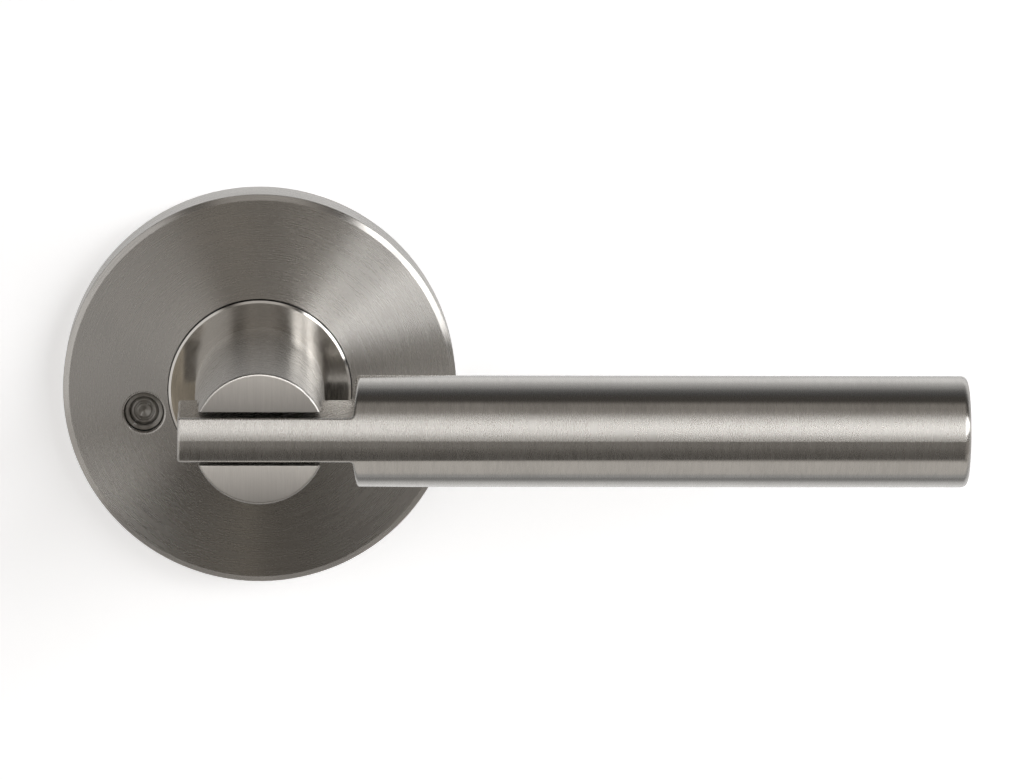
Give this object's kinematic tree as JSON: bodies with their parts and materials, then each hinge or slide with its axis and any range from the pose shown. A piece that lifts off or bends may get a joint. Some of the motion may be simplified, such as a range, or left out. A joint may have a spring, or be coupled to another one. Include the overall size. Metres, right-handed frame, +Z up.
{
  "type": "door lever handle",
  "caption": "Round-rose door lever with a straight bar held in a slotted neck, a sprung hub, a square spindle and a recessed privacy pin.",
  "frame": {"origin": "on the spindle's axis, in the plane of the door's face", "axes": "+X along the lever bar, +Z up, -Y from the door to the user"},
  "size_m": [0.1551, 0.1042, 0.069],
  "materials": {
    "rose_brushed": "turned brushed satin",
    "collar_polished": "polished",
    "neck_brushed": "brushed satin",
    "bar_brushed": "brushed satin round the bar",
    "cap_brushed": "brushed satin",
    "plate_steel": "bright zinc plating",
    "post_steel": "turned, zinc plated",
    "housing_steel": "pressed steel, zinc plated",
    "lid_steel": "pressed steel, zinc plated",
    "rivet_steel": "plain",
    "bush_nylon": "natural nylon",
    "spring_steel": "oiled spring wire",
    "ring_steel": "spring wire",
    "sleeve_steel": "turned",
    "pin_steel": "turned",
    "clip_steel": "blackened spring steel",
    "driver_steel": "sintered steel",
    "washer_steel": "spring steel",
    "screw_steel": "blackened",
    "spindle_steel": "drawn bright bar, zinc plated"
  },
  "bodies": {
    "rose": {"mounting_plate": "plate_steel", "through_posts": "post_steel", "spring_housing": "housing_steel", "housing_lid": "lid_steel", "housing_rivets": "rivet_steel", "bearing_bush": "bush_nylon", "return_spring": "spring_steel", "rose_cover": "rose_brushed", "rose_snap_ring": "ring_steel", "privacy_sleeve": "sleeve_steel", "privacy_spring": "spring_steel"},
    "lever": {"driver": "driver_steel", "spring_washer": "washer_steel", "circlip": "clip_steel", "collar": "collar_polished", "neck": "neck_brushed", "lever_bar": "bar_brushed", "end_cap": "cap_brushed", "lever_screw": "screw_steel", "spindle": "spindle_steel", "grub_screw": "screw_steel"},
    "pin": {"privacy_pin": "pin_steel", "pin_clip": "clip_steel"}
  },
  "joints": [
    {"name": "lever", "type": "hinge", "parent": "rose", "child": "lever", "pos_m": [0, 0, 0], "axis": [0, 1, 0], "range_deg": [-45, 45], "stiffness_Nm_per_rad": 2, "springref_deg": -2.86, "deforming": ["return_spring"]},
    {"name": "privacy_pin", "type": "slide", "parent": "rose", "child": "pin", "axis": [0, 1, 0], "range_m": [0, 0.004], "stiffness_N_per_m": 500, "springref_m": -0.002, "deforming": ["privacy_spring"]}
  ]
}
